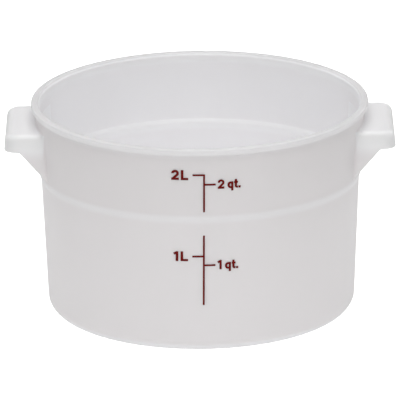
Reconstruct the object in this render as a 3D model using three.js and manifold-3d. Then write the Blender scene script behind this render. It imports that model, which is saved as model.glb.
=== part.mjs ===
// Round food storage container: a one-piece moulded tub with a rim bead, a stacking shoulder
// and two hollow ear handles, and a capacity scale printed on the front of the wall.
// Millimetres, +Z up. The origin is on the tub's axis, on the surface that it stands on.
// The printed front faces -Y and the ears point along +X and -X.
import * as THREE from 'three';
import { mergeVertices } from 'three/addons/utils/BufferGeometryUtils.js';
import Module from 'manifold-3d';

// Tub
const HEIGHT = 113.2;
const RIM_RADIUS = 89;
const BEAD_HEIGHT = 3.3;
const BEAD_OVERHANG = 2.3;
const BEAD_ROUND = 0.9;
const WALL = 2.1;
const DRAFT = THREE.MathUtils.degToRad(2.4);
const LEAD_IN_WIDTH = 0.9;
const LEAD_IN_HEIGHT = 1.6;

// Stacking shoulder: a nested tub rests on the ledge inside
const SHOULDER_HEIGHT = 73.5;
const SHOULDER_STEP = 0.9;
const SHOULDER_RISE = 2.6;
const SHOULDER_ROUND = 4;
const LEDGE_LIFT = 3;
const LEDGE_RISE = 1;
const LEDGE_ROUND = 0.9;

// Base
const FLOOR = 2.4;
const BASE_ROUND = 8;
const FOOT_WIDTH = 8;
const FOOT_RISE = 0.8;
const GATE_RADIUS = 4;
const GATE_DEPTH = 0.4;

// Ear handles: a top plate, an outer lip and two side gussets, open underneath for the fingers
const EAR_DROP = 10.7;
const EAR_REACH = 14;
const EAR_WIDTH = 56;
const EAR_WALL = 2.1;
const EAR_DRAFT = THREE.MathUtils.degToRad(5);
const EAR_CORNER = 6.5;
const EAR_ROUND = 2.2;
const END_ROUND = 3.6;
const LIP_HEIGHT = 9.4;
const LIP_ROUND = 0.6;
const LIP_SHELF = 8.2;
const GUSSET_SLOPE = THREE.MathUtils.degToRad(49.5);

// Printed capacity scale
const INK_THICKNESS = 0.2;
const INK_GAP = 0.15;
const LINE_WIDTH = 0.95;
const TICK_LENGTH = 6;
const SCALE_OFFSET = 1.5;
const TWO_QUART_DROP = 19.5;
const TWO_LITRE_STEP = 5.3;
const UPPER_TAIL = 15.1;
const ONE_QUART_RISE = 48.9;
const ONE_LITRE_STEP = 4.9;
const LOWER_TAIL = 22.1;
const LOWER_HEAD = 11.6;

// Facets
const ROUND_SEGMENTS = 80;
const ARC_STEPS = 2;
const EDGE_SHARE = 0.48;

// Cutting tools run this far past what they cut, and a blank this little past the face cut on it
const OVERSHOOT = 5;
const TRIM = 0.1;

const WHITE_POLYETHYLENE = { color: 0xeef0f0, roughness: 0.45, metalness: 0 };
const RED_INK = { color: 0x77211c, roughness: 0.55, metalness: 0 };

const wasm = await Module();
wasm.setup();

// A path through corners [x, y, radius], with an arc of that radius in each corner that has one.
// An arc takes up less than half of the edges beside it.
function roundedPath(corners, path = new THREE.Path()) {
  corners.forEach(([x, y, radius], i) => {
    const corner = new THREE.Vector2(x, y);
    if (!radius) {
      if (i === 0) path.moveTo(x, y);
      else path.lineTo(x, y);
      return;
    }
    const [back, ahead] = [corners.at(i - 1), corners[(i + 1) % corners.length]].map(
      ([nextX, nextY]) => new THREE.Vector2(nextX, nextY).sub(corner));
    const room = EDGE_SHARE * Math.min(back.length(), ahead.length());
    const half = Math.acos(back.normalize().dot(ahead.normalize())) / 2;
    const reach = Math.min(radius / Math.tan(half), room);
    const arc = reach * Math.tan(half);
    const start = corner.clone().addScaledVector(back, reach);
    const end = corner.clone().addScaledVector(ahead, reach);
    const middle = back.clone().add(ahead).normalize();
    const centre = corner.clone().addScaledVector(middle, arc / Math.sin(half));
    const [from, to] = [start, end].map((point) => point.clone().sub(centre).angle());
    if (i === 0) path.moveTo(start.x, start.y);
    else path.lineTo(start.x, start.y);
    path.absarc(centre.x, centre.y, arc, from, to, back.cross(ahead) > 0);
  });
  return path;
}

// A closed outline for an extrusion, from rounded corners.
function roundedShape(corners) {
  const shape = roundedPath(corners, new THREE.Shape());
  shape.closePath();
  return shape;
}

// A turned geometry about Z from profile corners [radius, height, round].
function turned(corners, closed = false) {
  const points = roundedPath(corners).getPoints(ARC_STEPS);
  if (closed) points.push(points[0].clone());
  return new THREE.LatheGeometry(points, ROUND_SEGMENTS).rotateX(Math.PI / 2);
}

// A closed solid from a geometry: shared vertices merged, collapsed triangles at the poles dropped.
function solid(geometry) {
  geometry.deleteAttribute('normal');
  geometry.deleteAttribute('uv');
  const { index, attributes } = mergeVertices(geometry);
  const triangles = [];
  for (let i = 0; i < index.count; i += 3) {
    const [a, b, c] = index.array.subarray(i, i + 3);
    if (a !== b && b !== c && c !== a) triangles.push(a, b, c);
  }
  return new wasm.Manifold(new wasm.Mesh({
    numProp: 3,
    vertProperties: new Float32Array(attributes.position.array),
    triVerts: new Uint32Array(triangles),
  }));
}

// A named mesh from a solid.
function piece(name, body, finish) {
  const { vertProperties, triVerts } = body.getMesh();
  const geometry = new THREE.BufferGeometry();
  geometry.setAttribute('position', new THREE.BufferAttribute(vertProperties, 3));
  geometry.setIndex(new THREE.BufferAttribute(triVerts, 1));
  geometry.computeVertexNormals();
  const mesh = new THREE.Mesh(geometry, new THREE.MeshStandardMaterial(finish));
  mesh.name = name;
  return mesh;
}

// The wall's outer face leans out by the draft all the way up and steps out at the shoulder.
const BEAD_BOTTOM = HEIGHT - BEAD_HEIGHT;
const NECK_RADIUS = RIM_RADIUS - BEAD_OVERHANG;
const lean = (height) => (BEAD_BOTTOM - height) * Math.tan(DRAFT);
const upperWall = (height) => NECK_RADIUS - lean(height);
const lowerWall = (height) => upperWall(height) - SHOULDER_STEP;

// Profile corners of the wall from foot to rim: inset 0 is the outer face, and WALL the inner face.
// The step between them is at the shoulder's height, over its rise and with its rounds.
function wallCorners(inset, top, shoulder, rise, round) {
  const low = shoulder - rise / 2;
  const high = shoulder + rise / 2;
  return [
    [lowerWall(low) - inset, low, round],
    [upperWall(high) - inset, high, round],
    [upperWall(top) - inset, top],
  ];
}

// The outer face of the wall up to the rim bead, at a distance out from it.
function outerFace(gap) {
  return wallCorners(-gap, BEAD_BOTTOM, SHOULDER_HEIGHT, SHOULDER_RISE, SHOULDER_ROUND);
}

// The tub as a plug with no hollow: foot ring, gate mark, wall and rim bead.
function tubOutside() {
  const footInside = lowerWall(0) - BASE_ROUND - FOOT_WIDTH;
  return solid(turned([
    [0, FOOT_RISE + GATE_DEPTH],
    [GATE_RADIUS, FOOT_RISE + GATE_DEPTH],
    [GATE_RADIUS, FOOT_RISE],
    [footInside - FOOT_RISE, FOOT_RISE],
    [footInside, 0],
    [lowerWall(0), 0, BASE_ROUND],
    ...outerFace(0),
    [RIM_RADIUS, BEAD_BOTTOM, BEAD_ROUND],
    [RIM_RADIUS, HEIGHT, BEAD_ROUND],
    [0, HEIGHT],
  ]));
}

// The space for food, from the floor up through the mouth, with the lead-in at the rim.
function foodSpace() {
  const floor = FOOT_RISE + FLOOR;
  const leadIn = HEIGHT - LEAD_IN_HEIGHT;
  const mouth = upperWall(HEIGHT) - WALL + LEAD_IN_WIDTH;
  return solid(turned([
    [0, floor],
    [lowerWall(floor) - WALL, floor, Math.max(BASE_ROUND - WALL, WALL)],
    ...wallCorners(WALL, leadIn, SHOULDER_HEIGHT + LEDGE_LIFT, LEDGE_RISE, LEDGE_ROUND),
    [mouth, HEIGHT],
    [mouth, HEIGHT + OVERSHOOT],
    [0, HEIGHT + OVERSHOOT],
  ]));
}

// An ear starts inside the food space, so that the hollow trims it to the wall's curve.
const EAR_ROOT = Math.sqrt((lowerWall(0) - WALL) ** 2 - (EAR_WIDTH / 2) ** 2) - OVERSHOOT;

// A block along +X with rounded plan corners and rounded top edges, from the ear's root to a reach.
function earBlock(reach, width, top, bottom, corner, edge) {
  const outline = roundedShape([
    [EAR_ROOT, -width / 2],
    [reach, -width / 2, corner],
    [reach, width / 2, corner],
    [EAR_ROOT, width / 2],
  ]);
  const block = new THREE.ExtrudeGeometry(outline, {
    depth: top - bottom - 2 * edge,
    curveSegments: 2 * ARC_STEPS,
    bevelThickness: edge,
    bevelSize: edge,
    bevelOffset: -edge,
    bevelSegments: 2 * ARC_STEPS,
  });
  return block.translate(0, 0, bottom + edge);
}

// Draws an ear's sides and end in towards its top by its draft, from the height of its lip's lower edge.
function drafted(geometry, parting) {
  const place = geometry.getAttribute('position');
  for (let i = 0; i < place.count; i += 1) {
    const inset = (place.getZ(i) - parting) * Math.tan(EAR_DRAFT);
    place.setX(i, place.getX(i) - inset);
    place.setY(i, place.getY(i) - Math.sign(place.getY(i)) * inset);
  }
  return geometry;
}

// The side view of an ear, as a slab across it: flat top, round end, lip, shelf under it, sloping gusset.
function earSideView(reach, top, lipBottom) {
  const shelf = reach - LIP_SHELF;
  const gussetFoot = lipBottom - (shelf - EAR_ROOT) * Math.tan(GUSSET_SLOPE);
  const outline = roundedShape([
    [EAR_ROOT, gussetFoot],
    [shelf, lipBottom, LIP_ROUND],
    [reach, lipBottom, LIP_ROUND],
    [reach - LIP_HEIGHT * Math.tan(EAR_DRAFT), top, END_ROUND],
    [EAR_ROOT, top],
  ]);
  const slab = new THREE.ExtrudeGeometry(outline, {
    depth: 2 * EAR_WIDTH,
    curveSegments: 2 * ARC_STEPS,
    bevelEnabled: false,
  });
  return slab.rotateX(Math.PI / 2).translate(0, EAR_WIDTH, 0);
}

// One ear handle, turned about the tub's axis to its side.
function ear(turn) {
  const reach = RIM_RADIUS + EAR_REACH;
  const top = HEIGHT - EAR_DROP;
  const lipBottom = top - LIP_HEIGHT;
  const block = earBlock(reach + TRIM, EAR_WIDTH, top + TRIM, -OVERSHOOT, EAR_CORNER, EAR_ROUND);
  const hollow = earBlock(
    reach - EAR_WALL,
    EAR_WIDTH - 2 * EAR_WALL,
    top - EAR_WALL,
    -top - OVERSHOOT,
    Math.max(EAR_CORNER - EAR_WALL, EAR_WALL),
    EAR_WALL / 2,
  );
  const [outside, side, inside] = [
    drafted(block, lipBottom),
    earSideView(reach, top, lipBottom),
    drafted(hollow, lipBottom),
  ].map((geometry) => solid(geometry.rotateZ(turn)));
  return outside.intersect(side).subtract(inside);
}

// The moulding: tub and ears in one piece, hollowed by the food space.
function containerBody() {
  const outside = tubOutside().add(ear(0)).add(ear(Math.PI));
  return piece('container_body', outside.subtract(foodSpace()), WHITE_POLYETHYLENE);
}

// A thin sleeve of ink thickness round the wall, standing off it by the gap.
function inkSleeve() {
  const near = outerFace(INK_GAP);
  const far = outerFace(INK_GAP + INK_THICKNESS);
  const foot = BASE_ROUND;
  return solid(turned([
    [lowerWall(foot) + INK_GAP + INK_THICKNESS, foot],
    ...far,
    ...near.reverse(),
    [lowerWall(foot) + INK_GAP, foot],
  ], true));
}

// A printed line: a tail below its quart tick, its litre tick a step above that, and a head over both.
// Litres are marked to the left of the line and quarts to the right.
function scalePrint(name, quart, tail, step, head) {
  const litre = quart + step;
  const bars = [
    [SCALE_OFFSET - LINE_WIDTH / 2, quart - tail, LINE_WIDTH, tail + step + head],
    [SCALE_OFFSET - TICK_LENGTH, litre - LINE_WIDTH / 2, TICK_LENGTH, LINE_WIDTH],
    [SCALE_OFFSET, quart - LINE_WIDTH / 2, TICK_LENGTH, LINE_WIDTH],
  ].map(([x, z, width, height]) => {
    const bar = new THREE.BoxGeometry(width, RIM_RADIUS, height);
    return solid(bar.translate(x + width / 2, -RIM_RADIUS / 2, z + height / 2));
  });
  const marks = bars.reduce((joined, bar) => joined.add(bar));
  return piece(name, inkSleeve().intersect(marks), RED_INK);
}

const container = new THREE.Group();
container.add(
  containerBody(),
  scalePrint('scale_print_upper', HEIGHT - TWO_QUART_DROP, UPPER_TAIL, TWO_LITRE_STEP, LINE_WIDTH / 2),
  scalePrint('scale_print_lower', ONE_QUART_RISE, LOWER_TAIL, ONE_LITRE_STEP, LOWER_HEAD),
);

export default container;
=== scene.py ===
"""Round food storage container, dressed for a studio picture.

One white polyethylene moulding, a tub with a rim bead, a stacking shoulder and two hollow ear
handles, and a capacity scale printed on the front of its wall in dark red ink. Sizes in the
classes are millimetres and Blender's are metres. The tub's axis is Z, the ears point along X
and the printed front faces -Y.
"""
import logging
import math
from collections.abc import Iterable, Sequence
from dataclasses import dataclass
from enum import Enum

import bmesh
import bpy
from mathutils import Matrix, Vector
from mathutils.geometry import delaunay_2d_cdt


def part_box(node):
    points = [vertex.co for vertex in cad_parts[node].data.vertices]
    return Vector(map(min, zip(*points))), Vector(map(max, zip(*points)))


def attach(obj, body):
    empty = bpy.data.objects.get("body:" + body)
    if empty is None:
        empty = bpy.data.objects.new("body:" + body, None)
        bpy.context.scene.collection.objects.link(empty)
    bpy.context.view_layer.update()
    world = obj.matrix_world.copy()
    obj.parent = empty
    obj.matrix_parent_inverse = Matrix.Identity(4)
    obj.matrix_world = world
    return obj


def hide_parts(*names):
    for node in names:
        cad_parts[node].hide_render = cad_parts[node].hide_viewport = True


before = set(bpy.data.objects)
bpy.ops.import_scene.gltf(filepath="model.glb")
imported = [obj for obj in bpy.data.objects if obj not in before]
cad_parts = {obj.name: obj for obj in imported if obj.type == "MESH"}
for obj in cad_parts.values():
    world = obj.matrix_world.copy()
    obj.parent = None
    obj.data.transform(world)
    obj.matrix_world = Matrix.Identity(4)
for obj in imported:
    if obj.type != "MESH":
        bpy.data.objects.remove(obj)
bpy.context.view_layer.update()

log = logging.getLogger("food_container")

MM = 0.001
QUARTER = math.pi / 2
# Points closer than this, in metres, are one point.
DOUBLES = 1e-7
# Numbers of a colour Mix node's two colour inputs and of its result.
MIX_A, MIX_B, MIX_RESULT = 6, 7, 2
BODY = "root"


class Slot(Enum):
    """The record's material slots."""

    PLASTIC = "white_polyethylene"
    INK = "scale_ink"


class Zone(Enum):
    """The two stretches of wall that carry print: above and below the stacking shoulder."""

    UPPER = "upper"
    LOWER = "lower"


class Side(Enum):
    """The side of a printed line that a mark stands on: litres to the left, quarts to the right."""

    LITRE = -1
    QUART = 1


def linear(hex_colour: str) -> tuple[float, float, float, float]:
    """Turns an sRGB hex colour into linear light.

    Args:
        hex_colour: Six hex digits after a hash sign.

    Returns:
        Red, green, blue and alpha for a colour socket.
    """
    channels = [int(hex_colour[i:i + 2], 16) / 255 for i in (1, 3, 5)]
    light = [c / 12.92 if c <= 0.04045 else ((c + 0.055) / 1.055) ** 2.4 for c in channels]
    return (*light, 1.0)


def add_node(tree: bpy.types.NodeTree, kind: str, inputs: dict | None = None, **settings
             ) -> bpy.types.Node:
    """Adds a node to a tree with its settings, and fills or links its inputs.

    Args:
        tree: The node tree of a material, a world or a modifier.
        kind: Blender's name for the type of node.
        inputs: Input names or numbers, each with a value to set or an output to link.
        settings: The node's own properties.

    Returns:
        The new node.
    """
    node = tree.nodes.new(kind)
    for name, value in settings.items():
        setattr(node, name, value)
    for socket, value in (inputs or {}).items():
        if isinstance(value, bpy.types.NodeSocket):
            tree.links.new(value, node.inputs[socket])
        else:
            node.inputs[socket].default_value = value
    return node


def new_object(name: str, mesh: bpy.types.Mesh) -> bpy.types.Object:
    """Puts a mesh into the scene as an object at the origin.

    Args:
        name: The object's name.
        mesh: The mesh.

    Returns:
        The object.
    """
    obj = bpy.data.objects.new(name, mesh)
    bpy.context.collection.objects.link(obj)
    return obj


def evaluated_mesh(obj: bpy.types.Object) -> bpy.types.Mesh:
    """Turns what an object's modifiers make into its own plain mesh, and removes the modifiers.

    Args:
        obj: An object with live modifiers.

    Returns:
        The object's new mesh.
    """
    graph = bpy.context.evaluated_depsgraph_get()
    mesh = bpy.data.meshes.new_from_object(obj.evaluated_get(graph), depsgraph=graph)
    obj.modifiers.clear()
    obj.data = mesh
    mesh.name = obj.name
    return mesh


def run_tree(obj: bpy.types.Object, tree: bpy.types.NodeTree, values: dict[str, object]
             ) -> bpy.types.Mesh:
    """Runs a geometry tree on an object and keeps the result as its plain mesh.

    Args:
        obj: The object whose mesh goes into the tree.
        tree: The geometry tree.
        values: The tree's inputs by name.

    Returns:
        The object's new mesh.
    """
    modifier = obj.modifiers.new(tree.name, "NODES")
    modifier.node_group = tree
    for item in tree.interface.items_tree:
        if item.in_out == "INPUT" and item.name in values:
            modifier[item.identifier] = values[item.name]
    return evaluated_mesh(obj)


def new_tree(name: str, inputs: dict[str, str]) -> tuple[bpy.types.NodeTree, bpy.types.Node]:
    """Starts a geometry tree with a geometry input, named inputs and a geometry output.

    Args:
        name: The tree's name.
        inputs: Input names, each with its socket type.

    Returns:
        The tree and its input node.
    """
    tree = bpy.data.node_groups.new(name, "GeometryNodeTree")
    tree.interface.new_socket("Geometry", in_out="INPUT", socket_type="NodeSocketGeometry")
    for label, kind in inputs.items():
        tree.interface.new_socket(label, in_out="INPUT", socket_type=kind)
    tree.interface.new_socket("Geometry", in_out="OUTPUT", socket_type="NodeSocketGeometry")
    return tree, add_node(tree, "NodeGroupInput")


def finish_tree(tree: bpy.types.NodeTree, geometry: bpy.types.NodeSocket,
                material: bpy.types.NodeSocket) -> None:
    """Ends a geometry tree: smooth shading, realised instances, the finish and the output.

    Args:
        tree: The geometry tree.
        geometry: The geometry that the tree has made.
        material: The finish that it takes.
    """
    smooth = add_node(tree, "GeometryNodeSetShadeSmooth", {"Geometry": geometry})
    whole = add_node(tree, "GeometryNodeRealizeInstances", {"Geometry": smooth.outputs[0]})
    dressed = add_node(tree, "GeometryNodeSetMaterial", {
        "Geometry": whole.outputs[0], "Material": material})
    add_node(tree, "NodeGroupOutput", {"Geometry": dressed.outputs[0]})


@dataclass(frozen=True)
class MouldedPolyethylene:
    """White polyethylene, injection moulded against a finely textured tool.

    The eye sees a milky, slightly translucent white with a soft satin sheen, a faint unevenness
    from the melt's flow and fine rub marks round the foot. Light and shade are painted into its
    colour. A painted glow, a lighter white, lies on the ears, on the inner wall behind them and
    along the bead, the shoulder, the ledge and the base, where the scatter is also shorter. A
    painted shade makes the outer face darker than the inner face. A painted shade on the rim's land
    damps its highlight. A painted shade makes the outer wall greyer above the shoulder.
    """

    name: str = "Polyethylene, white, injection moulded"
    # Painted shade on the outer face and painted light on the inner face: the same plastic is
    # tinted darker outside than inside.
    outside_tint: str = "#ECE9E9"
    # Painted shade: the outer wall is greyer above the shoulder.
    upper_shade_tint: str = "#E8E5E5"
    inside_tint: str = "#F4F4F6"
    flow_tint: str = "#EFEBEC"
    # Painted glow, laid on the ears, behind them and along the bead, shoulder, ledge and base.
    painted_glow_tint: str = "#FCFDFF"
    # Painted shade on the rim's land, damping its highlight.
    land_shade_tint: str = "#E6E5E6"
    rubbed_tint: str = "#DCDBDA"
    ior: float = 1.53
    roughness: float = 0.42
    rubbed_roughness: float = 0.6
    scatter_depth: float = 4.5
    thick_scatter_depth: float = 1.5
    flow_width: float = 45.0
    flow_detail: float = 3.0
    flow_roughness: float = 0.5
    flow_share: float = 0.5
    # The tool's texture is about 0.1 mm, too fine to show, so it is drawn several times coarser.
    grain: float = 0.8
    grain_detail: float = 2.0
    grain_roughness: float = 0.6
    grain_depth: float = 0.006
    grain_strength: float = 0.5
    rub_height: float = 3.0
    land_depth: float = 0.8
    land_blur: float = 0.4
    face_blur: float = 0.3
    # Shares from 0 to 1 say how strongly a place gets the painted glow, and the shorter scatter of
    # thicker plastic, on its inner and on its outer face.
    root_depth: float = 10.0
    root_blur: float = 0.5
    root_shares: tuple[float, float] = (1.0, 1.0)
    bead_blur: float = 1.5
    bead_shares: tuple[float, float] = (0.9, 0.45)
    band_blur: float = 1.4
    band_shares: tuple[float, float] = (0.0, 0.42)
    ledge_blur: float = 0.5
    ledge_fade: float = 2.4
    ledge_shares: tuple[float, float] = (1.0, 0.0)
    base_blur: float = 3.0
    base_shares: tuple[float, float] = (0.0, 0.2)

    @staticmethod
    def ramp(tree: bpy.types.NodeTree, value: bpy.types.NodeSocket, limit: float, blur: float,
             below: bool) -> bpy.types.NodeSocket:
        """Adds a soft limit.

        Args:
            tree: The material's tree.
            value: The length to compare, in metres.
            limit: The limit, in millimetres.
            blur: Half the width over which it fades, in millimetres.
            below: True for a factor of 1 below the limit, False for 1 above it.

        Returns:
            The factor.
        """
        factor = add_node(tree, "ShaderNodeMapRange", {
            "Value": value, "From Min": (limit - blur) * MM, "From Max": (limit + blur) * MM,
            "To Min": float(below), "To Max": float(not below)}, interpolation_type="SMOOTHSTEP")
        return factor.outputs[0]

    def thick_and_painted_glow(self, tree: bpy.types.NodeTree, place: bpy.types.NodeSocket, ear: "Ear",
              outside: bpy.types.NodeSocket) -> bpy.types.NodeSocket:
        """Marks where a glow is painted into the colour and the scatter is shorter, as in thicker
        plastic: the ears and the inner wall behind them, the bead, the shoulder, the ledge and the
        base.

        Args:
            tree: The material's tree.
            place: Object coordinates.
            ear: The ear handle, with the tub that it belongs to.
            outside: The factor that is 1 on the wall's outer face.

        Returns:
            A factor that is 1 where the painted glow is strongest and the scatter shortest, and 0
            on the plain wall.
        """
        tub = ear.tub
        size = add_node(tree, "ShaderNodeVectorMath", {0: place}, operation="ABSOLUTE")
        spot = add_node(tree, "ShaderNodeSeparateXYZ", {"Vector": size.outputs[0]}).outputs
        root = tub.lower_wall(0) - self.root_depth
        gusset_foot = ear.lower_edge(tub.upper_wall(ear.parting()))
        bead_foot = tub.bead_bottom() - self.bead_blur
        shoulder_foot = tub.shoulder_height - tub.shoulder_rise / 2
        shoulder_head = tub.shoulder_height + tub.shoulder_rise
        ledge = tub.shoulder_height + tub.ledge_lift
        ledge_foot = ledge - tub.ledge_rise / 2 - self.ledge_fade
        ledge_head = ledge + tub.ledge_rise / 2
        # Painted glow zones: on and behind the ears, under the bead, a band along the shoulder, the
        # inner ledge and round the base.
        zones = (
            (self.root_shares, (
                ("X", root, self.root_blur, False), ("Y", ear.width / 2, self.root_blur, True),
                ("Z", gusset_foot, self.root_blur, False), ("Z", ear.top(), self.root_blur, True))),
            (self.bead_shares, (("Z", bead_foot, self.bead_blur, False),)),
            (self.band_shares, (
                ("Z", shoulder_foot, self.band_blur, False),
                ("Z", shoulder_head, self.band_blur, True))),
            (self.ledge_shares, (
                ("Z", ledge_foot, self.ledge_fade, False),
                ("Z", ledge_head, self.ledge_blur, True))),
            (self.base_shares, (("Z", tub.base_round / 2, self.base_blur, True),)))
        marked = 0.0
        for (inner, outer), limits in zones:
            share = add_node(tree, "ShaderNodeMapRange", {
                "Value": outside, "To Min": inner, "To Max": outer}).outputs[0]
            for axis, *limit in limits:
                within = self.ramp(tree, spot[axis], *limit)
                share = add_node(tree, "ShaderNodeMath", {
                    0: share, 1: within}, operation="MULTIPLY").outputs[0]
            marked = add_node(tree, "ShaderNodeMath", {
                0: marked, 1: share}, operation="MAXIMUM").outputs[0]
        return marked

    def outside(self, tree: bpy.types.NodeTree, place: bpy.types.NodeSocket, tub: "Tub"
                ) -> bpy.types.NodeSocket:
        """Tells the wall's outer face, 1, from its inner face, 0.

        Args:
            tree: The material's tree.
            place: Object coordinates.
            tub: The tub.

        Returns:
            The factor.
        """
        flat = add_node(tree, "ShaderNodeVectorMath", {
            0: place, 1: (1.0, 1.0, 0.0)}, operation="MULTIPLY")
        radius = add_node(tree, "ShaderNodeVectorMath", {0: flat.outputs[0]}, operation="LENGTH")
        height = add_node(tree, "ShaderNodeSeparateXYZ", {"Vector": place}).outputs["Z"]
        upright = add_node(tree, "ShaderNodeMath", {
            0: height, 1: -math.tan(tub.draft), 2: radius.outputs["Value"]},
            operation="MULTIPLY_ADD")
        middle = (tub.lower_wall(0) + tub.upper_wall(0) - tub.wall) / 2
        return self.ramp(tree, upright.outputs[0], middle, self.face_blur, False)

    def material(self, ear: "Ear") -> bpy.types.Material:
        """Builds the plastic's node material.

        Args:
            ear: The ear handle, with the tub that it belongs to.

        Returns:
            The material.
        """
        tub = ear.tub
        made = bpy.data.materials.new(self.name)
        made.use_nodes = True
        tree = made.node_tree
        tree.nodes.clear()
        place = add_node(tree, "ShaderNodeTexCoord").outputs["Object"]
        flow = add_node(tree, "ShaderNodeTexNoise", {
            "Vector": place, "Scale": 1 / (self.flow_width * MM),
            "Detail": self.flow_detail, "Roughness": self.flow_roughness})
        grain = add_node(tree, "ShaderNodeTexNoise", {
            "Vector": place, "Scale": 1 / (self.grain * MM),
            "Detail": self.grain_detail, "Roughness": self.grain_roughness})
        height = add_node(tree, "ShaderNodeSeparateXYZ", {"Vector": place}).outputs["Z"]
        foot = self.ramp(tree, height, self.rub_height / 2, self.rub_height / 2, True)
        # Painted shade on the rim's land, damping its highlight.
        land = self.ramp(tree, height, tub.height - self.land_depth, self.land_blur, False)
        # Painted shade on the outer wall above the shoulder.
        above = self.ramp(tree, height, tub.shoulder_height, tub.shoulder_rise, False)
        marks = add_node(tree, "ShaderNodeMath", {
            0: foot, 1: grain.outputs["Fac"]}, operation="MULTIPLY")
        streak = add_node(tree, "ShaderNodeMath", {
            0: flow.outputs["Fac"], 1: self.flow_share}, operation="MULTIPLY")
        outside = self.outside(tree, place, tub)
        thick_and_painted_glow = self.thick_and_painted_glow(tree, place, ear, outside)
        skin = add_node(tree, "ShaderNodeMix", {
            "Factor": above, MIX_A: linear(self.outside_tint), MIX_B: linear(self.upper_shade_tint)},
            data_type="RGBA")
        # Painted light and shade: the outer face is tinted darker than the inner one, the glow
        # factor lays a painted glow and the land factor a painted shade; the flow streaks and rub
        # marks are the plastic's own.
        layers = (
            (outside, skin.outputs[MIX_RESULT]),
            (streak.outputs[0], linear(self.flow_tint)),
            (thick_and_painted_glow, linear(self.painted_glow_tint)),
            (land, linear(self.land_shade_tint)),
            (marks.outputs[0], linear(self.rubbed_tint)))
        colour = linear(self.inside_tint)
        for factor, tint in layers:
            colour = add_node(tree, "ShaderNodeMix", {
                "Factor": factor, MIX_A: colour, MIX_B: tint}, data_type="RGBA").outputs[MIX_RESULT]
        scatter = add_node(tree, "ShaderNodeMapRange", {
            "Value": thick_and_painted_glow,
            "To Min": self.scatter_depth * MM, "To Max": self.thick_scatter_depth * MM})
        rough = add_node(tree, "ShaderNodeMapRange", {
            "Value": marks.outputs[0], "To Min": self.roughness, "To Max": self.rubbed_roughness})
        bump = add_node(tree, "ShaderNodeBump", {
            "Height": grain.outputs["Fac"], "Strength": self.grain_strength,
            "Distance": self.grain_depth * MM})
        shader = add_node(tree, "ShaderNodeBsdfPrincipled", {
            "Base Color": colour,
            "Roughness": rough.outputs["Result"],
            "IOR": self.ior,
            "Subsurface Weight": 1.0,
            "Subsurface Radius": (1.0, 1.0, 1.0),
            "Subsurface Scale": scatter.outputs[0],
            "Normal": bump.outputs["Normal"]})
        add_node(tree, "ShaderNodeOutputMaterial", {"Surface": shader.outputs[0]})
        return made


@dataclass(frozen=True)
class PrintedInk:
    """Dark red ink, screen printed and flame fixed on the plastic.

    The eye sees a flat maroon film with slightly uneven cover, matter than the plastic round it.
    """

    name: str = "Ink, dark red, screen printed"
    ink_tint: str = "#6A0A06"
    thin_tint: str = "#80120C"
    ior: float = 1.5
    specular: float = 0.15
    roughness: float = 0.65
    roughness_spread: float = 0.1
    cover_width: float = 1.5
    cover_detail: float = 3.0

    def material(self) -> bpy.types.Material:
        """Builds the ink's node material.

        Returns:
            The material.
        """
        made = bpy.data.materials.new(self.name)
        made.use_nodes = True
        tree = made.node_tree
        tree.nodes.clear()
        place = add_node(tree, "ShaderNodeTexCoord").outputs["Object"]
        cover = add_node(tree, "ShaderNodeTexNoise", {
            "Vector": place, "Scale": 1 / (self.cover_width * MM), "Detail": self.cover_detail})
        colour = add_node(tree, "ShaderNodeMix", {
            "Factor": cover.outputs["Fac"],
            MIX_A: linear(self.ink_tint), MIX_B: linear(self.thin_tint)}, data_type="RGBA")
        rough = add_node(tree, "ShaderNodeMapRange", {
            "Value": cover.outputs["Fac"],
            "To Min": self.roughness - self.roughness_spread,
            "To Max": self.roughness + self.roughness_spread})
        shader = add_node(tree, "ShaderNodeBsdfPrincipled", {
            "Base Color": colour.outputs[MIX_RESULT], "Roughness": rough.outputs["Result"],
            "IOR": self.ior, "Specular IOR Level": self.specular})
        add_node(tree, "ShaderNodeOutputMaterial", {"Surface": shader.outputs[0]})
        return made


@dataclass(frozen=True)
class Corner:
    """A corner of a turned profile: distance from the axis, height, and the round in it."""

    radius: float
    height: float
    round: float = 0.0

    def point(self) -> Vector:
        """The corner's place in the profile's plane."""
        return Vector((self.radius, self.height))


def rounded_profile(corners: Sequence[Corner], arc_step: float, run_step: float, hold: float
                    ) -> list[Vector]:
    """Draws a profile through corners, with an arc in each that has a round.

    A straight run longer than four holds is divided, with a point close to each end that keeps the
    shading of the flat stretch apart from that of the arc.

    Args:
        corners: The profile's corners in order.
        arc_step: The largest turn between two points of an arc, in degrees.
        run_step: The longest straight step.
        hold: The distance from the end of a run to the point that holds its shading.

    Returns:
        The profile's points.
    """
    runs: list[list[Vector]] = [[corners[0].point()]]
    for before, here, after in zip(corners, corners[1:], corners[2:]):
        back = (before.point() - here.point()).normalized()
        ahead = (after.point() - here.point()).normalized()
        half = back.angle(ahead) / 2
        reach = here.round / math.tan(half)
        centre = here.point() + (back + ahead).normalized() * here.round / math.sin(half)
        start = here.point() + back * reach - centre
        sweep = start.angle_signed(here.point() + ahead * reach - centre)
        steps = max(1, math.ceil(math.degrees(abs(sweep)) / arc_step))
        runs.append([
            centre + Matrix.Rotation(-sweep * i / steps, 2) @ start for i in range(steps + 1)])
    runs.append([corners[-1].point()])
    points = list(runs[0])
    for arc in runs[1:]:
        start, end = points[-1], arc[0]
        length = (end - start).length
        if length > 4 * hold:
            steps = max(1, round(length / run_step))
            stops = [hold, *(length * i / steps for i in range(1, steps)), length - hold]
            points += [start.lerp(end, stop / length) for stop in stops]
        points += arc
    return points


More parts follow.
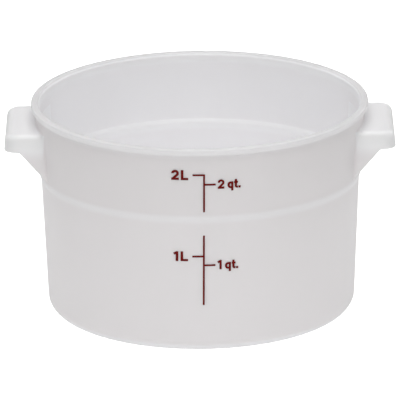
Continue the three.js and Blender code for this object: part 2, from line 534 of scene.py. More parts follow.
def revolve_tree() -> bpy.types.NodeTree:
    """Builds the tree that turns a profile about Z into a closed surface.

    A grid has a row for each point of the profile, and each row is wrapped round the axis at
    that point's radius and height. Merging closes the seam and the two poles.

    Returns:
        The geometry tree.
    """
    tree, given = new_tree("Turned profile", {
        "Segments": "NodeSocketInt", "Merge Distance": "NodeSocketFloat",
        "Finish": "NodeSocketMaterial"})
    count = add_node(tree, "GeometryNodeAttributeDomainSize", {
        "Geometry": given.outputs["Geometry"]})
    around = add_node(tree, "ShaderNodeMath", {
        0: given.outputs["Segments"], 1: 1.0}, operation="ADD")
    grid = add_node(tree, "GeometryNodeMeshGrid", {
        "Vertices X": count.outputs["Point Count"], "Vertices Y": around.outputs[0]})
    index = add_node(tree, "GeometryNodeInputIndex").outputs[0]
    share = add_node(tree, "ShaderNodeMath", {0: index, 1: around.outputs[0]}, operation="DIVIDE")
    row = add_node(tree, "ShaderNodeMath", {0: share.outputs[0]}, operation="FLOOR")
    turn = add_node(tree, "ShaderNodeMath", {0: index, 1: around.outputs[0]}, operation="MODULO")
    full = add_node(tree, "ShaderNodeMath", {
        0: math.tau, 1: given.outputs["Segments"]}, operation="DIVIDE")
    angle = add_node(tree, "ShaderNodeMath", {
        0: turn.outputs[0], 1: full.outputs[0]}, operation="MULTIPLY")
    place = add_node(tree, "GeometryNodeInputPosition").outputs[0]
    point = add_node(tree, "GeometryNodeSampleIndex", {
        "Geometry": given.outputs["Geometry"], "Value": place, "Index": row.outputs[0]},
        data_type="FLOAT_VECTOR")
    turned = add_node(tree, "ShaderNodeVectorRotate", {
        "Vector": point.outputs[0], "Angle": angle.outputs[0]}, rotation_type="Z_AXIS")
    shaped = add_node(tree, "GeometryNodeSetPosition", {
        "Geometry": grid.outputs["Mesh"], "Position": turned.outputs[0]})
    closed = add_node(tree, "GeometryNodeMergeByDistance", {
        "Geometry": shaped.outputs[0], "Distance": given.outputs["Merge Distance"]})
    finish_tree(tree, closed.outputs[0], given.outputs["Finish"])
    return tree


@dataclass(frozen=True)
class Tub:
    """The turned part of the moulding: foot ring, wall with its stacking shoulder, and rim bead."""

    height: float
    rim_radius: float
    bead_height: float = 3.3
    bead_overhang: float = 2.3
    bead_round: float = 0.9
    neck_round: float = 1.1
    wall: float = 2.1
    draft: float = math.radians(2.4)
    lead_in_width: float = 0.9
    lead_in_height: float = 1.6
    shoulder_height: float = 73.5
    shoulder_step: float = 0.9
    shoulder_rise: float = 2.6
    shoulder_round: float = 4.0
    ledge_lift: float = 2.0
    ledge_rise: float = 2.0
    ledge_round: float = 1.4
    floor: float = 2.4
    base_round: float = 7.2
    foot_width: float = 8.0
    foot_rise: float = 0.8
    gate_radius: float = 4.0
    gate_depth: float = 0.4
    fine_round: float = 0.35
    segments: int = 240
    arc_step: float = 14.0
    run_step: float = 4.0
    hold: float = 0.25
    merge: float = 0.0035

    def bead_bottom(self) -> float:
        """Height of the underside of the rim bead."""
        return self.height - self.bead_height

    def upper_wall(self, height: float) -> float:
        """Outer radius of the wall at a height above the shoulder."""
        drawn_in = (self.bead_bottom() - height) * math.tan(self.draft)
        return self.rim_radius - self.bead_overhang - drawn_in

    def lower_wall(self, height: float) -> float:
        """Outer radius of the wall at a height below the shoulder."""
        return self.upper_wall(height) - self.shoulder_step

    def shoulder(self, inset: float, middle: float, rise: float, blend: float) -> list[Corner]:
        """Finds the two corners of the stacking shoulder on a face of the wall.

        Args:
            inset: Distance of the face from the wall's outer face.
            middle: Height of the shoulder's middle on that face.
            rise: Height that it steps over.
            blend: Round in its two corners.

        Returns:
            The lower and the upper corner.
        """
        low = middle - rise / 2
        high = middle + rise / 2
        return [
            Corner(self.lower_wall(low) - inset, low, blend),
            Corner(self.upper_wall(high) - inset, high, blend)]

    def outside(self) -> list[Corner]:
        """Lists the corners of the outer face.

        Returns:
            The corners, from the middle of the underside up to the rim's land.
        """
        foot_inside = self.lower_wall(0) - self.base_round - self.foot_width
        gate_top = self.foot_rise + self.gate_depth
        neck = self.upper_wall(self.bead_bottom())
        return [
            Corner(0, gate_top),
            Corner(self.gate_radius, gate_top, self.fine_round / 2),
            Corner(self.gate_radius + self.gate_depth, self.foot_rise, self.fine_round / 2),
            Corner(foot_inside - self.foot_rise, self.foot_rise, self.fine_round),
            Corner(foot_inside, 0, self.fine_round),
            Corner(self.lower_wall(0), 0, self.base_round),
            *self.shoulder(0, self.shoulder_height, self.shoulder_rise, self.shoulder_round),
            Corner(neck, self.bead_bottom(), self.neck_round),
            Corner(self.rim_radius, self.bead_bottom(), self.bead_round),
            Corner(self.rim_radius, self.height, self.bead_round)]

    def inside(self) -> list[Corner]:
        """Lists the corners of the food space.

        Returns:
            The corners, from the rim's lead-in down to the middle of the floor.
        """
        floor = self.foot_rise + self.floor
        mouth = self.upper_wall(self.height) - self.wall + self.lead_in_width
        lead_in = self.height - self.lead_in_height
        neck = self.upper_wall(lead_in) - self.wall
        middle = self.shoulder_height + self.ledge_lift
        ledge = self.shoulder(self.wall, middle, self.ledge_rise, self.ledge_round)
        return [
            Corner(mouth, self.height, self.fine_round),
            Corner(neck, lead_in, 2 * self.fine_round),
            *reversed(ledge),
            Corner(self.lower_wall(floor) - self.wall, floor, self.base_round - self.wall),
            Corner(0, floor)]

    def build(self, finish: bpy.types.Material) -> bpy.types.Object:
        """Turns the profile into the tub.

        Args:
            finish: The plastic.

        Returns:
            The tub as a closed mesh object.
        """
        corners = self.outside() + self.inside()
        points = rounded_profile(corners, self.arc_step, self.run_step, self.hold)
        profile = bpy.data.meshes.new("profile")
        spots = [(point.x * MM, 0.0, point.y * MM) for point in points]
        profile.from_pydata(spots, [(i, i + 1) for i in range(len(spots) - 1)], [])
        tub = new_object("container_body_moulding", profile)
        run_tree(tub, revolve_tree(), {
            "Segments": self.segments, "Merge Distance": self.merge * MM, "Finish": finish})
        turn_outwards(tub.data)
        return tub


def turn_outwards(mesh: bpy.types.Mesh) -> None:
    """Merges a closed mesh's doubles and points its faces outwards.

    Args:
        mesh: The mesh to change.
    """
    work = bmesh.new()
    work.from_mesh(mesh)
    bmesh.ops.remove_doubles(work, verts=work.verts, dist=DOUBLES)
    bmesh.ops.recalc_face_normals(work, faces=work.faces)
    work.to_mesh(mesh)
    work.free()


@dataclass(frozen=True)
class SkinPoint:
    """A point of an ear's section: inset from the outer face, height and the way it faces."""

    inset: float
    height: float
    out: float
    up: float


@dataclass(frozen=True)
class Station:
    """A place along the edge of an ear in plan, from its root round its end.

    Attributes:
        turn: Which way the edge faces, from 0 at the sides to 90 degrees at the end, in radians.
        run: Share of the straight side from root to corner, below 0 in the fillet at the root.
        gap: Distance from the tub's wall in the fillet.
        flare: How far the fillet spreads there.
    """

    turn: float
    run: float
    gap: float = 0.0
    flare: float = 0.0


@dataclass(frozen=True)
class Ear:
    """A hollow ear handle: top plate, outer lip and two gussets, open underneath for fingers."""

    tub: Tub
    reach: float
    drop: float = 10.7
    width: float = 56.0
    wall: float = 2.1
    draft: float = math.radians(5.0)
    corner: float = 6.5
    edge_round: float = 2.2
    end_round: float = 3.6
    lip_height: float = 9.4
    lip_shelf: float = 8.2
    shelf_blend: float = 0.4
    gusset_slope: float = math.radians(49.5)
    rim_round: float = 0.6
    root_fillet: float = 1.4
    root_sink: float = 1.0
    fillet_overlap: float = 0.05
    fillet_turns: tuple[float, ...] = (80, 70, 54, 36, 18, 0)
    side_steps: int = 10
    run_steps: int = 8
    corner_steps: int = 8
    across_steps: int = 24
    arc_steps: int = 5
    settle_steps: int = 12
    merge: float = 0.001

    def top(self) -> float:
        """Height of the top plate."""
        return self.tub.height - self.drop

    def parting(self) -> float:
        """Height of the lip's lower edge, where the two halves of the mould meet."""
        return self.top() - self.lip_height

    def half_width(self, inset: float) -> float:
        """Half the ear's width at an inset from its sides."""
        return self.width / 2 - inset

    def wall_reach(self, y: float, z: float, gap: float) -> float:
        """Distance along X to a surface that follows the tub's wall at a gap from it."""
        return math.sqrt((self.tub.upper_wall(z) + gap) ** 2 - y ** 2)

    def lower_edge(self, x: float) -> float:
        """Finds the lower edge's height: level under the lip, then down the gusset's slope.

        Args:
            x: Distance along X.

        Returns:
            The height.
        """
        past = self.reach - self.lip_shelf - x
        blend = (past + math.hypot(past, self.shelf_blend)) / 2
        return self.parting() - blend * math.tan(self.gusset_slope)

    def stations(self) -> list[Station]:
        """Lists the places along one side in plan.

        Returns:
            The stations, from inside the tub's wall round to the ear's end.
        """
        fillet = []
        for degrees in self.fillet_turns:
            turn = math.radians(degrees)
            gap = self.root_fillet * (1 - math.sin(turn)) - self.fillet_overlap
            fillet.append(Station(0.0, -1.0, gap, self.root_fillet * (1 - math.cos(turn))))
        sunk = Station(0.0, -1.0, -self.root_sink, fillet[0].flare)
        side = [Station(0.0, i / self.run_steps) for i in range(1, self.run_steps + 1)]
        corner = [
            Station(QUARTER * i / self.corner_steps, 1.0) for i in range(1, self.corner_steps + 1)]
        return [sunk, *fillet, *side, *corner]

    def top_round(self, station: Station) -> float:
        """Round along the plate's edge, which widens from the ear's sides to its outer end."""
        return self.edge_round + (self.end_round - self.edge_round) * math.sin(station.turn)

    def section(self, station: Station, inner: bool) -> list[SkinPoint]:
        """Draws half a section of one skin, from the middle of the lower edge up to the plate.

        Args:
            station: The place along the ear's edge.
            inner: True for the skin of the hollow, False for the outer skin.

        Returns:
            The section's points in order.
        """
        face = self.wall if inner else 0.0
        away = -1.0 if inner else 1.0
        top = self.top() - face
        edge = self.wall / 2 if inner else self.top_round(station)
        lower = self.lower_at(station)
        quarter = [QUARTER * i / self.arc_steps for i in range(self.arc_steps + 1)]
        points = [SkinPoint(self.wall / 2, lower, 0.0, -1.0)]
        for turn in quarter:
            points.append(SkinPoint(
                face + away * self.rim_round * (1 - math.sin(turn)),
                lower + self.rim_round * (1 - math.cos(turn)),
                away * math.sin(turn), -math.cos(turn)))
        foot, head = lower + self.rim_round, top - edge
        for i in range(1, self.side_steps):
            points.append(SkinPoint(face, foot + (head - foot) * i / self.side_steps, away, 0.0))
        for turn in quarter:
            points.append(SkinPoint(
                face + edge * (1 - math.cos(turn)), head + edge * math.sin(turn),
                away * math.cos(turn), away * math.sin(turn)))
        drawn_in = math.tan(self.draft)
        return [
            SkinPoint(p.inset + (p.height - self.parting()) * drawn_in, p.height, p.out, p.up)
            for p in points]

    def along(self, station: Station, y: float, z: float) -> float:
        """Distance along X of a point on a straight side, or in the fillet at its root.

        Args:
            station: The place along the side.
            y: The point's distance from the ear's middle plane.
            z: The point's height.

        Returns:
            The point's X.
        """
        if station.run < 0:
            return self.wall_reach(y, z, station.gap)
        root = self.wall_reach(y, z, self.root_fillet - self.fillet_overlap)
        return root + (self.reach - self.corner - root) * station.run

    def lower_at(self, station: Station) -> float:
        """Height of the lower edge at a station, found where the slope meets the station's line.

        Args:
            station: The place along the side.

        Returns:
            The height.
        """
        lower = self.parting()
        if station.turn > 0:
            return lower
        y = self.half_width(self.wall / 2)
        for _ in range(self.settle_steps):
            lower = (lower + self.lower_edge(self.along(station, y, lower))) / 2
        return lower

    def skirt_point(self, station: Station, point: SkinPoint) -> Vector:
        """Places a point of a section on the skin.

        Args:
            station: The place along the ear's edge.
            point: The section's point.

        Returns:
            The point in the ear's frame, on its -Y side.
        """
        if station.turn > 0:
            reach = self.corner - point.inset
            return Vector((
                self.reach - self.corner + reach * math.sin(station.turn),
                -(self.width / 2 - self.corner) - reach * math.cos(station.turn),
                point.height))
        y = -(self.half_width(point.inset) + point.out * station.flare)
        z = point.height + point.up * station.flare
        return Vector((self.along(station, y, z), y, z))

    def skin(self, work: bmesh.types.BMesh, inner: bool) -> list[bmesh.types.BMVert]:
        """Makes one skin of the ear: the skirt round its edge and the plate inside it.

        Args:
            work: The mesh to add to.
            inner: True for the skin of the hollow, False for the outer skin.

        Returns:
            The skin's root edge, from the lower edge of one gusset over the plate to the other.
        """
        stations = self.stations()
        left = []
        for station in stations:
            section = self.section(station, inner)
            left.append([self.skirt_point(station, point) for point in section])
        mirrored = [[Vector((p.x, -p.y, p.z)) for p in row] for row in reversed(left)]
        shares = [i / self.across_steps for i in range(1, self.across_steps)]
        end = [[a.lerp(b, share) for a, b in zip(left[-1], mirrored[0])] for share in shares]
        skirt = [[work.verts.new(p * MM) for p in row] for row in [*left, *end, *mirrored]]
        self.weave(work, skirt)
        plate = []
        for i, station in enumerate(stations):
            ends = skirt[i][-1], skirt[-1 - i][-1]
            row = [ends[0]]
            for share in shares:
                spot = left[i][-1].lerp(mirrored[-1 - i][-1], share)
                x = self.along(station, spot.y, spot.z) if station.turn == 0 else spot.x
                row.append(work.verts.new(Vector((x, spot.y, spot.z)) * MM))
            plate.append([*row, ends[1]])
        self.weave(work, plate)
        return [*skirt[0], *plate[0][1:-1], *reversed(skirt[-1])]

    @staticmethod
    def weave(work: bmesh.types.BMesh, rows: Sequence[Sequence[bmesh.types.BMVert]]) -> None:
        """Fills rows of points with quads.

        Args:
            work: The mesh that the points belong to.
            rows: The rows, each with the same number of points.
        """
        for low, high in zip(rows, rows[1:]):
            for a, b, c, d in zip(low, low[1:], high[1:], high):
                work.faces.new((a, b, c, d))

    def build(self, name: str, turn: float) -> bpy.types.Object:
        """Makes one ear and turns it about the tub's axis to its side.

        Args:
            name: The object's name.
            turn: The turn in radians.

        Returns:
            The ear as a closed mesh object, with its root inside the tub's wall.
        """
        work = bmesh.new()
        roots = [self.skin(work, inner) for inner in (False, True)]
        self.weave(work, roots)
        bmesh.ops.remove_doubles(work, verts=work.verts, dist=self.merge * MM)
        bmesh.ops.recalc_face_normals(work, faces=work.faces)
        bmesh.ops.rotate(
            work, verts=work.verts, cent=(0, 0, 0), matrix=Matrix.Rotation(turn, 3, "Z"))
        mesh = bpy.data.meshes.new(name)
        work.to_mesh(mesh)
        work.free()
        mesh.shade_smooth()
        return new_object(name, mesh)


@dataclass(frozen=True)
class Moulding:
    """The whole moulding: the tub with an ear on each side, in one piece."""

    tub: Tub
    ear: Ear

    def build(self, finish: bpy.types.Material) -> bpy.types.Object:
        """Joins the tub and its ears into one closed mesh.

        Args:
            finish: The plastic.

        Returns:
            The moulding.
        """
        body = self.tub.build(finish)
        ears = [self.ear.build(f"ear_{i}", turn) for i, turn in enumerate((0.0, math.pi))]
        for ear in ears:
            ear.data.materials.append(finish)
            join = body.modifiers.new(ear.name, "BOOLEAN")
            join.operation = "UNION"
            join.solver = "MANIFOLD"
            join.object = ear
        evaluated_mesh(body).shade_smooth()
        for ear in ears:
            bpy.data.objects.remove(ear)
        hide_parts("container_body")
        return body


def wrap_tree() -> bpy.types.NodeTree:
    """Builds the tree that wraps flat print round the wall and gives it the ink's thickness.

    Returns:
        The geometry tree.
    """
    sizes = ("Radius At Table", "Lean", "Stand Off", "Ink Thickness", "Slant", "Slant Height")
    tree, given = new_tree("Print on the wall", {
        **dict.fromkeys(sizes, "NodeSocketFloat"), "Finish": "NodeSocketMaterial"})
    place = add_node(tree, "GeometryNodeInputPosition").outputs[0]
    flat = add_node(tree, "ShaderNodeSeparateXYZ", {"Vector": place})
    base = add_node(tree, "ShaderNodeMath", {
        0: given.outputs["Radius At Table"], 1: given.outputs["Stand Off"]}, operation="ADD")
    radius = add_node(tree, "ShaderNodeMath", {
        0: flat.outputs["Z"], 1: given.outputs["Lean"], 2: base.outputs[0]},
        operation="MULTIPLY_ADD")
    above = add_node(tree, "ShaderNodeMath", {
        0: flat.outputs["Z"], 1: given.outputs["Slant Height"]}, operation="SUBTRACT")
    across = add_node(tree, "ShaderNodeMath", {
        0: above.outputs[0], 1: given.outputs["Slant"], 2: flat.outputs["X"]},
        operation="MULTIPLY_ADD")
    angle = add_node(tree, "ShaderNodeMath", {
        0: across.outputs[0], 1: radius.outputs[0]}, operation="DIVIDE")
    ahead = add_node(tree, "ShaderNodeMath", {0: radius.outputs[0], 1: -1.0}, operation="MULTIPLY")
    front = add_node(tree, "ShaderNodeCombineXYZ", {"Y": ahead.outputs[0], "Z": flat.outputs["Z"]})
    round_wall = add_node(tree, "ShaderNodeVectorRotate", {
        "Vector": front.outputs[0], "Angle": angle.outputs[0]}, rotation_type="Z_AXIS")
    wrapped = add_node(tree, "GeometryNodeSetPosition", {
        "Geometry": given.outputs["Geometry"], "Position": round_wall.outputs[0]}).outputs[0]
    film = add_node(tree, "GeometryNodeExtrudeMesh", {
        "Mesh": wrapped, "Offset Scale": given.outputs["Ink Thickness"], "Individual": False})
    back = add_node(tree, "GeometryNodeFlipFaces", {"Mesh": wrapped})
    both = add_node(tree, "GeometryNodeJoinGeometry", {"Geometry": film.outputs["Mesh"]})
    tree.links.new(back.outputs[0], both.inputs[0])
    tenth = add_node(tree, "ShaderNodeMath", {
        0: given.outputs["Ink Thickness"], 1: 0.1}, operation="MULTIPLY")
    closed = add_node(tree, "GeometryNodeMergeByDistance", {
        "Geometry": both.outputs[0], "Distance": tenth.outputs[0]})
    finish_tree(tree, closed.outputs[0], given.outputs["Finish"])
    return tree


@dataclass(frozen=True)
class Glyph:
    """One printed character, drawn as strokes of even width.

    Attributes:
        width: Advance to the next character, as a share of the cap height.
        strokes: Centre lines, as shares of the cap height from the character's lower left corner.
    """

    width: float
    strokes: tuple[tuple[Corner, ...], ...] = ()


GLYPHS: dict[str, Glyph] = {
    "1": Glyph(0.61, (
        (Corner(0.31, 0.0), Corner(0.31, 1.0)),
        (Corner(0.04, 0.74), Corner(0.34, 0.92)))),
    "2": Glyph(0.82, (
        (Corner(0.11, 0.65), Corner(0.11, 0.89, 0.21), Corner(0.54, 0.89, 0.21),
         Corner(0.54, 0.56, 0.16), Corner(0.14, 0.14)),
        (Corner(0.0, 0.11), Corner(0.65, 0.11)))),
    "L": Glyph(0.63, (
        (Corner(0.11, 0.0), Corner(0.11, 1.0)),
        (Corner(0.11, 0.11), Corner(0.63, 0.11)))),
    "q": Glyph(0.67, (
        (Corner(0.48, 0.61), Corner(0.11, 0.61, 0.2), Corner(0.11, 0.11, 0.2), Corner(0.48, 0.11)),
        (Corner(0.48, -0.26), Corner(0.48, 0.72)))),
    "t": Glyph(0.44, (
        (Corner(0.17, 0.95), Corner(0.17, 0.11, 0.13), Corner(0.38, 0.11)),
        (Corner(0.0, 0.63), Corner(0.38, 0.63)))),
    ".": Glyph(0.22, ((Corner(0.11, 0.0), Corner(0.11, 0.22)),)),
    " ": Glyph(0.15)}


@dataclass(frozen=True)
class Figure:
    """A printed figure with its unit, beside a tick.

    Attributes:
        name: The piece's name.
        text: What is printed.
        side: The side of the line that it stands on.
        gap: Clear width between the tick's end and the figure.
        drop: How far the figure's foot lies below the tick's middle.
        width: Printed width.
        cap: Height of its numeral.
        stroke: Width of its strokes, as a share of the cap height.
        arc_step: The largest turn between two points of a bent stroke, in degrees.
        run_step: Straight step and hold in cap heights, too long to divide a straight stroke.
        joint: Tolerance for joining strokes, as a share of the cap height.
    """

    name: str
    text: str
    side: Side
    gap: float
    drop: float
    width: float
    cap: float
    stroke: float = 0.22
    arc_step: float = 18.0
    run_step: float = 1.0
    joint: float = 1e-5

    def strips(self) -> tuple[list[Vector], list[list[int]]]:
        """Draws each stroke as a strip of quads, in shares of the cap height.

        Returns:
            The strips' points, and their quads as point numbers.
        """
        points: list[Vector] = []
        quads: list[list[int]] = []
        pen = 0.0
        for glyph in (GLYPHS[letter] for letter in self.text):
            for corners in glyph.strokes:
                line = rounded_profile(corners, self.arc_step, self.run_step, self.run_step)
                steps = [(b - a).normalized() for a, b in zip(line, line[1:])]
                for i, spot in enumerate(line):
                    back, ahead = steps[max(i - 1, 0)], steps[min(i, len(steps) - 1)]
                    along = (back + ahead).normalized()
                    aside = Vector((-along.y, along.x)) * self.stroke / 2 / along.dot(ahead)
                    first = len(points)
                    points += [spot + aside + Vector((pen, 0.0)), spot - aside + Vector((pen, 0.0))]
                    if i:
                        quads.append([first - 2, first - 1, first + 1, first])
            pen += glyph.width
        return points, quads

    def flat(self, tick_end: float, tick_height: float) -> bpy.types.Mesh:
        """Sets the figure flat in the XZ plane, facing -Y, with its strokes joined.

        Args:
            tick_end: Where the tick that it belongs to ends, along X.
            tick_height: The tick's height.

        Returns:
            The figure's faces.
        """
        points, quads = self.strips()
        joined = delaunay_2d_cdt(points, [], quads, 0, self.joint)
        spots, faces, origins = joined[0], joined[2], joined[5]
        low, high = (pick(spot.x for spot in spots) for pick in (min, max))
        on_right = self.side is Side.QUART
        left = tick_end + self.gap if on_right else tick_end - self.gap - self.width
        foot = tick_height - self.drop
        places = []
        for spot in spots:
            across = (spot.x - low) / (high - low) * self.width
            places.append(((left + across) * MM, 0.0, (foot + spot.y * self.cap) * MM))
        mesh = bpy.data.meshes.new(self.name)
        mesh.from_pydata(places, [], [face for face, origin in zip(faces, origins) if origin])
        return mesh


@dataclass(frozen=True)
class Scale:
    """One printed line with a litre tick on its left, a quart tick on its right and their figures.

    Attributes:
        node: The CAD node that the line replaces.
        zone: The stretch of wall that it is printed on.
        tub: The tub.
        quart: Height of the quart tick.
        step: How far the litre tick lies above the quart tick.
        tail: How far the line runs down from the quart tick.
        head: How far it runs up from the litre tick.
        figures: The figures beside the ticks.
        offset: Where the line stands along X.
        line_width: Width of the line and its ticks.
        tick_length: From the line's middle to a tick's end.
        slant: Lean of the whole print, about the middle at slant_height.
        slant_height: Height at which the lean moves nothing.
        stand_off: Clear gap between the wall and the ink.
        ink_thickness: Thickness of the film.
        cell: The longest flat step round the wall.
    """

    node: str
    zone: Zone
    tub: Tub
    quart: float
    step: float
    tail: float
    head: float
    figures: tuple[Figure, ...]
    offset: float = 1.5
    line_width: float = 0.95
    tick_length: float = 6.0
    slant: float = math.radians(0.7)
    slant_height: float = 62.0
    stand_off: float = 0.04
    ink_thickness: float = 0.08
    cell: float = 1.5

    def tick_height(self, side: Side) -> float:
        """Height of the tick on one side of the line."""
        return self.quart + (self.step if side is Side.LITRE else 0.0)

    def tick_end(self, side: Side) -> float:
        """Where the tick on one side ends, along X."""
        return self.offset + side.value * self.tick_length

    def bars(self) -> list[tuple[float, float, float, float]]:
        """Lists the line and its ticks.

        Returns:
            The left, right, lower and upper limit of each.
        """
        half = self.line_width / 2
        line = (
            self.offset - half, self.offset + half,
            self.quart - self.tail, self.quart + self.step + self.head)
        ticks = []
        for side in Side:
            ends = sorted((self.offset, self.tick_end(side)))
            ticks.append((*ends, self.tick_height(side) - half, self.tick_height(side) + half))
        return [line, *ticks]

    def flat_line(self) -> bpy.types.Mesh:
        """Draws the line and its ticks flat in the XZ plane, in cells that bend round the wall.

        Returns:
            The line's faces.
        """
        bars = self.bars()
        xs, zs = (self.stops([limit for bar in bars for limit in bar[i:i + 2]]) for i in (0, 2))
        work = bmesh.new()
        for left, right in zip(xs, xs[1:]):
            for low, high in zip(zs, zs[1:]):
                x, z = (left + right) / 2, (low + high) / 2
                if any(bar[0] < x < bar[1] and bar[2] < z < bar[3] for bar in bars):
                    corners = ((left, low), (right, low), (right, high), (left, high))
                    work.faces.new([work.verts.new((a * MM, 0.0, b * MM)) for a, b in corners])
        bmesh.ops.remove_doubles(work, verts=work.verts, dist=DOUBLES)
        mesh = bpy.data.meshes.new(self.node)
        work.to_mesh(mesh)
        work.free()
        return mesh

    def stops(self, limits: Iterable[float]) -> list[float]:
        """Sorts limits along one direction and divides the wide spaces between them.

        Args:
            limits: The limits of the bars.

        Returns:
            The limits with stops between them.
        """
        marks = sorted({round(limit, 4) for limit in limits})
        stops = [marks[0]]
        for low, high in zip(marks, marks[1:]):
            steps = max(1, math.ceil((high - low) / self.cell))
            stops += [low + (high - low) * i / steps for i in range(1, steps + 1)]
        return stops

    def printed(self, name: str, flat: bpy.types.Mesh, tree: bpy.types.NodeTree,
                ink: bpy.types.Material) -> bpy.types.Object:
        """Prints flat faces on the wall.

        Args:
            name: The piece's name.
            flat: The faces to print, in the XZ plane.
            tree: The geometry tree that wraps them.
            ink: The finish.

        Returns:
            The printed piece.
        """
        wall = self.tub.upper_wall if self.zone is Zone.UPPER else self.tub.lower_wall
        mark = new_object(name, flat)
        run_tree(mark, tree, {
            "Radius At Table": wall(0) * MM, "Lean": math.tan(self.tub.draft), "Finish": ink,
            "Slant": math.tan(self.slant), "Slant Height": self.slant_height * MM,
            "Stand Off": self.stand_off * MM, "Ink Thickness": self.ink_thickness * MM})
        return mark

    def build(self, tree: bpy.types.NodeTree, ink: bpy.types.Material) -> list[bpy.types.Object]:
        """Prints the line and its figures.

        Args:
            tree: The geometry tree that wraps print round the wall.
            ink: The finish.

        Returns:
            The printed pieces, the line first.
        """
        line = self.printed(f"scale_line_{self.zone.value}", self.flat_line(), tree, ink)
        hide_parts(self.node)
        marks = [line]
        for figure in self.figures:
            flat = figure.flat(self.tick_end(figure.side), self.tick_height(figure.side))
            marks.append(self.printed(figure.name, flat, tree, ink))
        return marks


@dataclass(frozen=True)
class Softbox:
    """A square softbox that looks at the middle of the table, with its power in watts."""

    name: str
    width: float
    place: tuple[float, float, float]
    power: float
    tint: str = "#FFFFFF"

    def hang(self) -> None:
        """Puts the softbox into the scene."""
        lamp = bpy.data.lights.new(self.name, "AREA")
        lamp.shape = "SQUARE"
        lamp.size = self.width * MM
        lamp.energy = self.power
        lamp.color = linear(self.tint)[:3]
        box = bpy.data.objects.new(self.name, lamp)
        box.location = Vector(self.place) * MM
        box.rotation_euler = (-box.location).to_track_quat("-Z", "Y").to_euler()
        bpy.context.collection.objects.link(box)


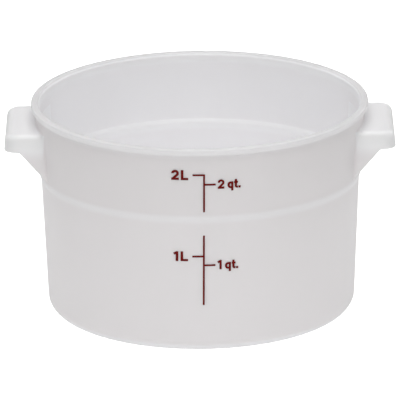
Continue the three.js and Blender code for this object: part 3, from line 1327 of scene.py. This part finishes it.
@dataclass(frozen=True)
class Studio:
    """Pale floor, soft light and the camera at the photograph's view.

    Attributes:
        lens: Focal length for a sensor 36 mm wide.
        distance: From the camera to the point that it looks at.
        elevation: Angle of the view above the horizon, in degrees.
        roll: Turn of the camera about its line of sight, in degrees.
        aim: The point that it looks at.
        floor_light: Strength of the light under the paper.
        table_inner: Distance from the middle at which that light starts to fade.
        table_outer: Distance at which it ends.
        floor_glow: Strength of the white that only the camera sees on the paper.
        glow_height: Height of that white above the paper.
        room_front: Light from the room in front of the tub.
        room_back: Light from the room behind it.
        room_blur: Share of the room over which one changes into the other.
    """

    lens: float = 558.6
    distance: float = 3293.0
    elevation: float = 18.25
    roll: float = -0.607
    aim: tuple[float, float, float] = (-0.3, 0.0, 57.12)
    floor_width: float = 30000.0
    floor_tint: str = "#AAAAAA"
    floor_light: float = 0.524
    table_inner: float = 350.0
    table_outer: float = 750.0
    glow_tint: str = "#FFFFFF"
    floor_glow: float = 0.9
    glow_height: float = 0.05
    room_tint: str = "#FFFFFF"
    room_front: float = 0.3
    room_back: float = 0.2
    room_blur: float = 1.0
    softboxes: tuple[Softbox, ...] = (
        Softbox("softbox_overhead", 1000.0, (0.0, 0.0, 1500.0), 7.3),
        Softbox("softbox_front", 1200.0, (0.0, -1200.0, 1400.0), 10.7),
        Softbox("softbox_back_left", 1000.0, (-1200.0, 1000.0, 800.0), 4.8),
        Softbox("softbox_back_right", 1000.0, (1200.0, 1000.0, 800.0), 4.8))
    diffuse_bounces: int = 12

    def camera(self) -> None:
        """Sets up the camera."""
        lens = bpy.data.cameras.new("camera")
        lens.lens = self.lens
        camera = bpy.data.objects.new("camera", lens)
        bpy.context.collection.objects.link(camera)
        tilt = math.radians(self.elevation)
        back = Vector((0.0, -math.cos(tilt), math.sin(tilt)))
        camera.location = (Vector(self.aim) + back * self.distance) * MM
        aimed = (-back).to_track_quat("-Z", "Y").to_matrix()
        rolled = aimed @ Matrix.Rotation(math.radians(self.roll), 3, "Z")
        camera.rotation_euler = rolled.to_euler()
        bpy.context.scene.camera = camera

    def floor(self) -> None:
        """Lays the pale floor, a sheet of white paper on a table that is lit from underneath."""
        half = self.floor_width / 2 * MM
        mesh = bpy.data.meshes.new("floor")
        corners = [(-half, -half, 0), (half, -half, 0), (half, half, 0), (-half, half, 0)]
        mesh.from_pydata(corners, [], [(0, 1, 2, 3)])
        paper = bpy.data.materials.new("Paper, white, matt, on a light table")
        paper.use_nodes = True
        tree = paper.node_tree
        place = add_node(tree, "ShaderNodeTexCoord").outputs["Object"]
        away = add_node(tree, "ShaderNodeVectorMath", {0: place}, operation="LENGTH")
        light = add_node(tree, "ShaderNodeMapRange", {
            "Value": away.outputs["Value"],
            "From Min": self.table_inner * MM, "From Max": self.table_outer * MM,
            "To Min": self.floor_light, "To Max": 0.0}, interpolation_type="SMOOTHSTEP")
        shader = tree.nodes["Principled BSDF"]
        shader.inputs["Base Color"].default_value = linear(self.floor_tint)
        shader.inputs["Roughness"].default_value = 1.0
        shader.inputs["Specular IOR Level"].default_value = 0.0
        shader.inputs["Emission Color"].default_value = linear(self.glow_tint)
        tree.links.new(light.outputs[0], shader.inputs["Emission Strength"])
        mesh.materials.append(paper)
        new_object("floor", mesh)
        self.glow(mesh)

    def glow(self, sheet: bpy.types.Mesh) -> None:
        """Lays a clear glowing sheet on the floor that whitens it to the eye but throws no light.

        Args:
            sheet: The floor's mesh.
        """
        film = bpy.data.materials.new("Light, even, on the paper")
        film.use_nodes = True
        tree = film.node_tree
        tree.nodes.clear()
        clear = add_node(tree, "ShaderNodeBsdfTransparent")
        light = add_node(tree, "ShaderNodeEmission", {
            "Color": linear(self.glow_tint), "Strength": self.floor_glow})
        both = add_node(tree, "ShaderNodeAddShader", {0: clear.outputs[0], 1: light.outputs[0]})
        add_node(tree, "ShaderNodeOutputMaterial", {"Surface": both.outputs[0]})
        mesh = sheet.copy()
        mesh.materials[0] = film
        glow = new_object("floor_glow", mesh)
        glow.location.z = self.glow_height * MM
        for rays in ("diffuse", "glossy", "transmission", "shadow"):
            setattr(glow, f"visible_{rays}", False)

    def light(self) -> None:
        """Hangs the softboxes over the table in a dim white room."""
        world = bpy.data.worlds.new("room")
        world.use_nodes = True
        tree = world.node_tree
        way = add_node(tree, "ShaderNodeTexCoord").outputs["Generated"]
        depth = add_node(tree, "ShaderNodeSeparateXYZ", {"Vector": way}).outputs["Y"]
        level = add_node(tree, "ShaderNodeMapRange", {
            "Value": depth, "From Min": -self.room_blur, "From Max": self.room_blur,
            "To Min": self.room_front, "To Max": self.room_back}, interpolation_type="SMOOTHSTEP")
        room = tree.nodes["Background"]
        room.inputs["Color"].default_value = linear(self.room_tint)
        tree.links.new(level.outputs["Result"], room.inputs["Strength"])
        bpy.context.scene.world = world
        for softbox in self.softboxes:
            softbox.hang()

    def build(self) -> None:
        """Sets up the camera, floor, light and plain colour handling."""
        self.camera()
        self.floor()
        self.light()
        bpy.context.scene.view_settings.view_transform = "Standard"
        bpy.context.scene.cycles.diffuse_bounces = self.diffuse_bounces


def scales(tub: Tub) -> list[Scale]:
    """Lists the two printed lines with their figures.

    Args:
        tub: The tub that they are printed on.

    Returns:
        The upper and the lower scale.
    """
    upper = Scale(
        "scale_print_upper", Zone.UPPER, tub, quart=93.7, step=5.3, tail=15.1, head=0.42,
        figures=(
            Figure(
                "figure_two_litre", "2L", Side.LITRE, gap=2.2, drop=2.7, width=8.8, cap=5.5),
            Figure(
                "figure_two_quart", "2 qt.", Side.QUART, gap=1.1, drop=2.4, width=12.0, cap=5.1)))
    lower = Scale(
        "scale_print_lower", Zone.LOWER, tub, quart=48.9, step=4.9, tail=22.1, head=11.6,
        figures=(
            Figure(
                "figure_one_litre", "1L", Side.LITRE, gap=2.2, drop=2.6, width=7.8, cap=5.4),
            Figure(
                "figure_one_quart", "1 qt.", Side.QUART, gap=1.0, drop=2.4, width=11.0, cap=5.1)))
    return [upper, lower]


def main() -> None:
    """Builds the moulding, its print and the studio, and reports each piece."""
    logging.basicConfig(level=logging.INFO, format="%(name)s: %(message)s")
    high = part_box("container_body")[1]
    tub = Tub(height=high.z / MM, rim_radius=high.y / MM)
    ear = Ear(tub, reach=high.x / MM)
    pieces = [Moulding(tub, ear).build(MouldedPolyethylene().material(ear))]
    tree = wrap_tree()
    ink = PrintedInk().material()
    for scale in scales(tub):
        pieces += scale.build(tree, ink)
    for piece in pieces:
        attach(piece, BODY)
        log.info("%s: %d faces", piece.name, len(piece.data.polygons))
    Studio().build()


if __name__ == "__main__":
    main()
